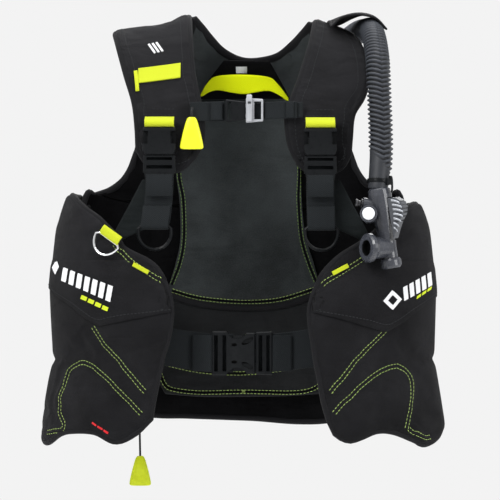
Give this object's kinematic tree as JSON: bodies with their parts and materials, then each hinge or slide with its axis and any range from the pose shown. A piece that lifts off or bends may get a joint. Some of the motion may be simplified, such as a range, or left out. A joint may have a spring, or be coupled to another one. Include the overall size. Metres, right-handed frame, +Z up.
{
  "type": "buoyancy compensator vest",
  "caption": "Jacket-style buoyancy compensator vest with wrap-round pockets, buckled straps, corrugated inflator hose, dump pulls and a cylinder band.",
  "frame": {"origin": "middle of the backplate's rear face, where the cylinder rests", "axes": "+Z up along the wearer's spine, -Y the way the wearer faces, +X the wearer's left"},
  "size_m": [0.5323, 0.5057, 0.6501],
  "materials": {
    "grey_nylon": "matt coated woven nylon",
    "black_nylon": "matt coated woven nylon",
    "pad_cloth": "matt laminated cloth over foam",
    "black_webbing": "ribbed webbing",
    "yellow_webbing": "bright ribbed webbing",
    "yellow_plastic": "satin",
    "black_plastic": "satin",
    "grey_plastic": "satin",
    "silver_plastic": "metallic satin",
    "hose_rubber": "matt",
    "steel": "polished"
  },
  "bodies": {
    "vest": {"air_cell_back": "grey_nylon", "air_cell_lobe_right": "grey_nylon", "air_cell_lobe_left": "grey_nylon", "pocket_right": "black_nylon", "pocket_left": "black_nylon", "yoke": "grey_nylon", "back_pad": "grey_nylon", "lumbar_pad": "pad_cloth", "shoulder_pad_right": "pad_cloth", "shoulder_pad_left": "pad_cloth", "strap_wing_right": "grey_nylon", "strap_wing_left": "grey_nylon", "hose_cover": "black_nylon", "shoulder_band_right": "yellow_webbing", "buckle_anchor_right": "yellow_webbing", "buckle_anchor_left": "yellow_webbing", "buckle_socket_right": "black_plastic", "buckle_socket_left": "black_plastic", "shoulder_webbing_right": "black_webbing", "shoulder_webbing_left": "black_webbing", "waist_webbing_right": "black_webbing", "waist_webbing_left": "black_webbing", "waist_buckle_socket": "black_plastic", "chest_webbing_right": "black_webbing", "chest_webbing_left": "black_webbing", "chest_buckle_socket": "black_plastic", "pocket_ring_tab": "yellow_webbing", "pocket_loop_right": "yellow_webbing", "pocket_loop_left": "yellow_webbing", "handle_panel": "pad_cloth", "backplate": "black_plastic", "cylinder_band": "black_webbing", "cam_frame": "black_plastic", "hose_upper": "hose_rubber", "hose_elbow": "black_plastic", "shoulder_valve": "black_plastic", "rear_valve_housing": "black_plastic"},
    "inflator_arm": {"hose_lower": "hose_rubber", "hose_clamp": "black_plastic", "inflator_body": "black_plastic", "inflator_inlet": "steel", "mouthpiece": "black_plastic", "inflator_cap": "black_plastic"},
    "inflate_key": {"inflate_button": "grey_plastic"},
    "deflate_key": {"deflate_button": "silver_plastic"},
    "waist_plug": {"waist_buckle_plug": "black_plastic"},
    "chest_plug": {"chest_buckle_plug": "grey_plastic", "whistle": "grey_plastic"},
    "plug_right": {"buckle_plug_right": "black_plastic"},
    "plug_left": {"buckle_plug_left": "black_plastic"},
    "ring_right": {"shoulder_d_ring_right": "black_plastic"},
    "ring_left": {"shoulder_d_ring_left": "black_plastic"},
    "pocket_ring": {"pocket_d_ring": "steel"},
    "shoulder_toggle": {"shoulder_pull": "yellow_plastic", "shoulder_pull_cord": "black_webbing"},
    "rear_toggle": {"rear_pull": "yellow_plastic", "rear_pull_cord": "black_webbing"},
    "rear_poppet": {"rear_valve_poppet": "black_plastic"},
    "lever": {"cam_lever": "black_plastic"},
    "handle": {"grab_handle": "yellow_webbing"}
  },
  "joints": [
    {"name": "inflator_lift", "type": "hinge", "parent": "vest", "child": "inflator_arm", "pos_m": [0.173, -0.185, 0.253], "axis": [1, 0, 0], "range_deg": [-50, 0]},
    {"name": "inflate_button_press", "type": "slide", "parent": "inflator_arm", "child": "inflate_key", "axis": [0.1214, 0.9913, -0.0506], "range_m": [0, 0.003], "stiffness_N_per_m": 600},
    {"name": "deflate_button_press", "type": "slide", "parent": "inflator_arm", "child": "deflate_key", "axis": [-0.8584, 0.4925, -0.1436], "range_m": [0, 0.0035], "stiffness_N_per_m": 600},
    {"name": "waist_buckle_release", "type": "slide", "parent": "vest", "child": "waist_plug", "axis": [1, 0, 0], "range_m": [0, 0.034]},
    {"name": "chest_buckle_release", "type": "slide", "parent": "vest", "child": "chest_plug", "axis": [1, 0, 0], "range_m": [0, 0.018]},
    {"name": "shoulder_buckle_release_right", "type": "slide", "parent": "vest", "child": "plug_right", "axis": [0, 0, -1], "range_m": [0, 0.028]},
    {"name": "shoulder_buckle_release_left", "type": "slide", "parent": "vest", "child": "plug_left", "axis": [0, 0, -1], "range_m": [0, 0.028]},
    {"name": "shoulder_ring_swing_right", "type": "hinge", "parent": "vest", "child": "ring_right", "pos_m": [-0.1134, -0.2475, 0.0035], "axis": [1, 0, 0], "range_deg": [-95, 3]},
    {"name": "shoulder_ring_swing_left", "type": "hinge", "parent": "vest", "child": "ring_left", "pos_m": [0.1016, -0.2475, 0.0025], "axis": [1, 0, 0], "range_deg": [-95, 3]},
    {"name": "pocket_ring_swing", "type": "hinge", "parent": "vest", "child": "pocket_ring", "pos_m": [-0.17095, -0.27405, -0.01258], "axis": [0.7581, -0.3702, -0.537], "range_deg": [-100, 0]},
    {"name": "shoulder_pull_travel", "type": "slide", "parent": "vest", "child": "shoulder_toggle", "axis": [0, 0, -1], "range_m": [0, 0.015], "stiffness_N_per_m": 300},
    {"name": "rear_pull_travel", "type": "slide", "parent": "vest", "child": "rear_toggle", "axis": [0, 0, -1], "range_m": [0, 0.012], "stiffness_N_per_m": 300},
    {"name": "rear_poppet_lift", "type": "slide", "parent": "vest", "child": "rear_poppet", "axis": [-0.2496, 0.9684, 0], "range_m": [0, 0.004]},
    {"name": "cam_lever_swing", "type": "hinge", "parent": "vest", "child": "lever", "pos_m": [0.1095, 0.122, 0.06], "axis": [0, 0, 1], "range_deg": [0, 150]},
    {"name": "grab_handle_swing", "type": "hinge", "parent": "vest", "child": "handle", "pos_m": [0.002, -0.09, 0.1825], "axis": [1, 0, 0], "range_deg": [-5, 45]}
  ],
  "couplings": [
    {"joint": "rear_poppet_lift", "follows": "rear_pull_travel", "ratio": 0.333}
  ]
}
